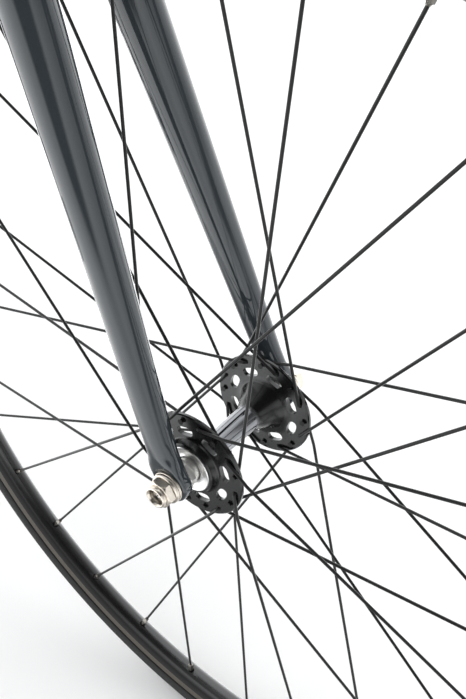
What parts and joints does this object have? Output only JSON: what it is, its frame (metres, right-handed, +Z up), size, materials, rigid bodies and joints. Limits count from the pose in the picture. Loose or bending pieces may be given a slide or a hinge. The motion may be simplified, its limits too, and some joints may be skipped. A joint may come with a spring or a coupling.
{
  "type": "fixed gear bicycle",
  "caption": "Brakeless track bicycle with steel diamond frame, drop bar, spoked wheels and a fixed chain drive that ties the cranks to the rear wheel.",
  "frame": {"origin": "on the ground under the centre plane, midway between the two axles", "axes": "+X forward, +Y to the rider's left, +Z up"},
  "size_m": [1.6315, 0.4292, 0.9488],
  "materials": {
    "paint": "gloss slate grey enamel under a clear coat",
    "black_alloy": "satin black anodised",
    "black_steel": "satin black plated",
    "bright_steel": "bright zinc or chrome plate",
    "chrome": "polished",
    "chain_steel": "oiled",
    "tyre": "matte black",
    "tube_rubber": "matte",
    "tape": "matte black cork tape",
    "saddle_skin": "soft satin black skin over foam",
    "black_plastic": "moulded"
  },
  "bodies": {
    "frame": {"head_tube": "paint", "top_tube": "paint", "down_tube": "paint", "seat_tube": "paint", "bottom_bracket_shell": "paint", "chainstays": "paint", "seatstays": "paint", "track_ends": "paint", "headset_cups": "black_alloy", "bottom_bracket_cups": "bright_steel", "seat_clamp": "black_alloy", "seatpost": "black_alloy", "saddle_clamp": "black_alloy", "saddle_rails": "bright_steel", "saddle_shell": "black_plastic", "saddle_cover": "saddle_skin", "rear_axle": "bright_steel", "rear_cones": "bright_steel", "rear_axle_nuts": "bright_steel", "chain": "chain_steel"},
    "fork": {"fork_steerer": "bright_steel", "fork_crown": "paint", "fork_blades": "paint", "headset_bearings": "bright_steel", "headset_spacers": "black_alloy", "stem": "black_alloy", "stem_faceplate": "black_alloy", "stem_bolts": "bright_steel", "top_cap": "black_alloy", "handlebar": "black_alloy", "bar_tape": "tape", "bar_end_plugs": "black_plastic", "front_axle": "bright_steel", "front_cones": "bright_steel", "front_axle_nuts": "bright_steel"},
    "front_wheel": {"front_hub_shell": "black_alloy", "front_dust_caps": "chrome", "front_hub_balls": "chrome", "front_spokes": "black_steel", "front_nipples": "bright_steel", "front_rim": "black_alloy", "front_tyre": "tyre", "front_inner_tube": "tube_rubber"},
    "rear_wheel": {"rear_hub_shell": "black_alloy", "rear_hub_balls": "chrome", "rear_spokes": "black_steel", "rear_nipples": "bright_steel", "rear_rim": "black_alloy", "rear_tyre": "tyre", "rear_inner_tube": "tube_rubber", "rear_cog": "chain_steel", "rear_lockring": "bright_steel"},
    "crankset": {"crank_spindle": "bright_steel", "crank_arm_right": "black_alloy", "crank_arm_left": "black_alloy", "chainring": "black_alloy", "crank_bolts": "bright_steel", "pedal_axles": "bright_steel"},
    "pedal_right": {"pedal_right_body": "black_plastic"},
    "pedal_left": {"pedal_left_body": "black_plastic"}
  },
  "joints": [
    {"name": "steering", "type": "hinge", "parent": "frame", "child": "fork", "pos_m": [0.32255, 0, 0.7597], "axis": [-0.2756, 0, 0.9613], "range_deg": [-80, 80]},
    {"name": "front_wheel_spin", "type": "hinge", "parent": "fork", "child": "front_wheel", "pos_m": [0.47927, 0, 0.3365], "axis": [0, 1, 0], "continuous": true},
    {"name": "rear_wheel_spin", "type": "hinge", "parent": "frame", "child": "rear_wheel", "pos_m": [-0.47927, 0, 0.3365], "axis": [0, 1, 0], "continuous": true, "deforming": ["chain"]},
    {"name": "crank_spin", "type": "hinge", "parent": "frame", "child": "crankset", "pos_m": [-0.08773, 0, 0.2815], "axis": [0, 1, 0], "continuous": true},
    {"name": "pedal_right_spin", "type": "hinge", "parent": "crankset", "child": "pedal_right", "pos_m": [0.07727, -0.11, 0.2815], "axis": [0, 1, 0], "continuous": true},
    {"name": "pedal_left_spin", "type": "hinge", "parent": "crankset", "child": "pedal_left", "pos_m": [-0.25273, 0.11, 0.2815], "axis": [0, 1, 0], "continuous": true}
  ],
  "couplings": [
    {"joint": "crank_spin", "follows": "rear_wheel_spin", "ratio": 0.34783}
  ]
}
